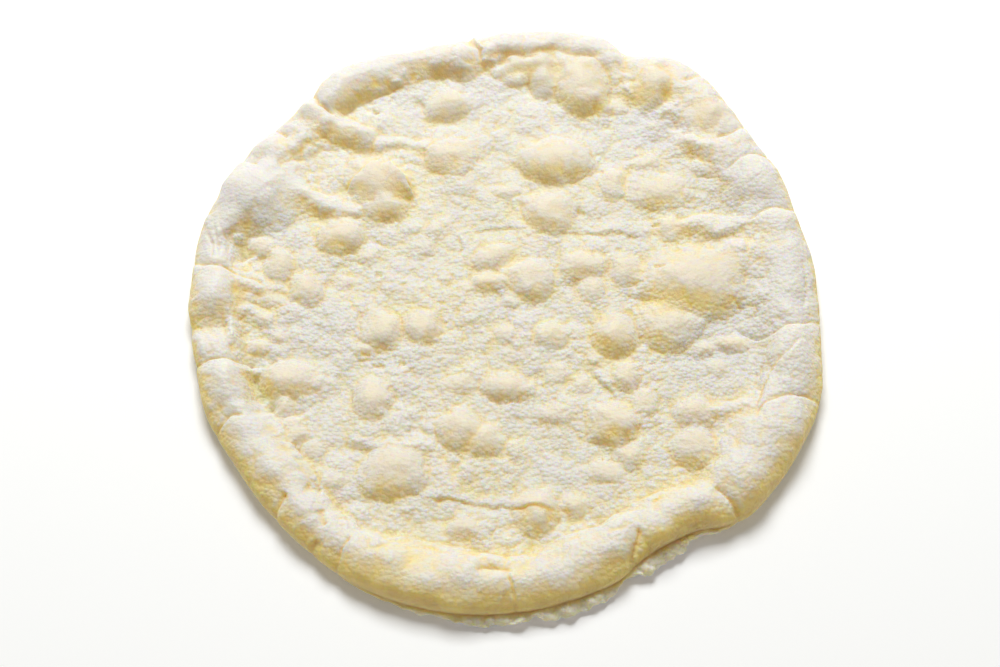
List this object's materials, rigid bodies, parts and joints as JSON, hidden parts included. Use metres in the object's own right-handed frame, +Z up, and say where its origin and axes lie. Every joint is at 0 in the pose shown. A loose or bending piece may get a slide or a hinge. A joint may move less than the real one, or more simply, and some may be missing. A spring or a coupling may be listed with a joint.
{
  "type": "pizza base",
  "caption": "Hand-stretched, par-baked round of pale dough: a thin blistered sheet inside a thick, uneven, creased rolled rim, flat underneath.",
  "frame": {"origin": "on the board, under the middle of the base's bounding box", "axes": "+Z up from the board; +Y from the torn lip at the front to the back of the base; +X to the right"},
  "size_m": [0.2963, 0.3208, 0.0188],
  "materials": {
    "pale_dough": "matt, floured, slightly translucent cream dough, yellower in its hollows"
  },
  "bodies": {
    "root": {"pizza_base": "pale_dough"}
  },
  "joints": []
}
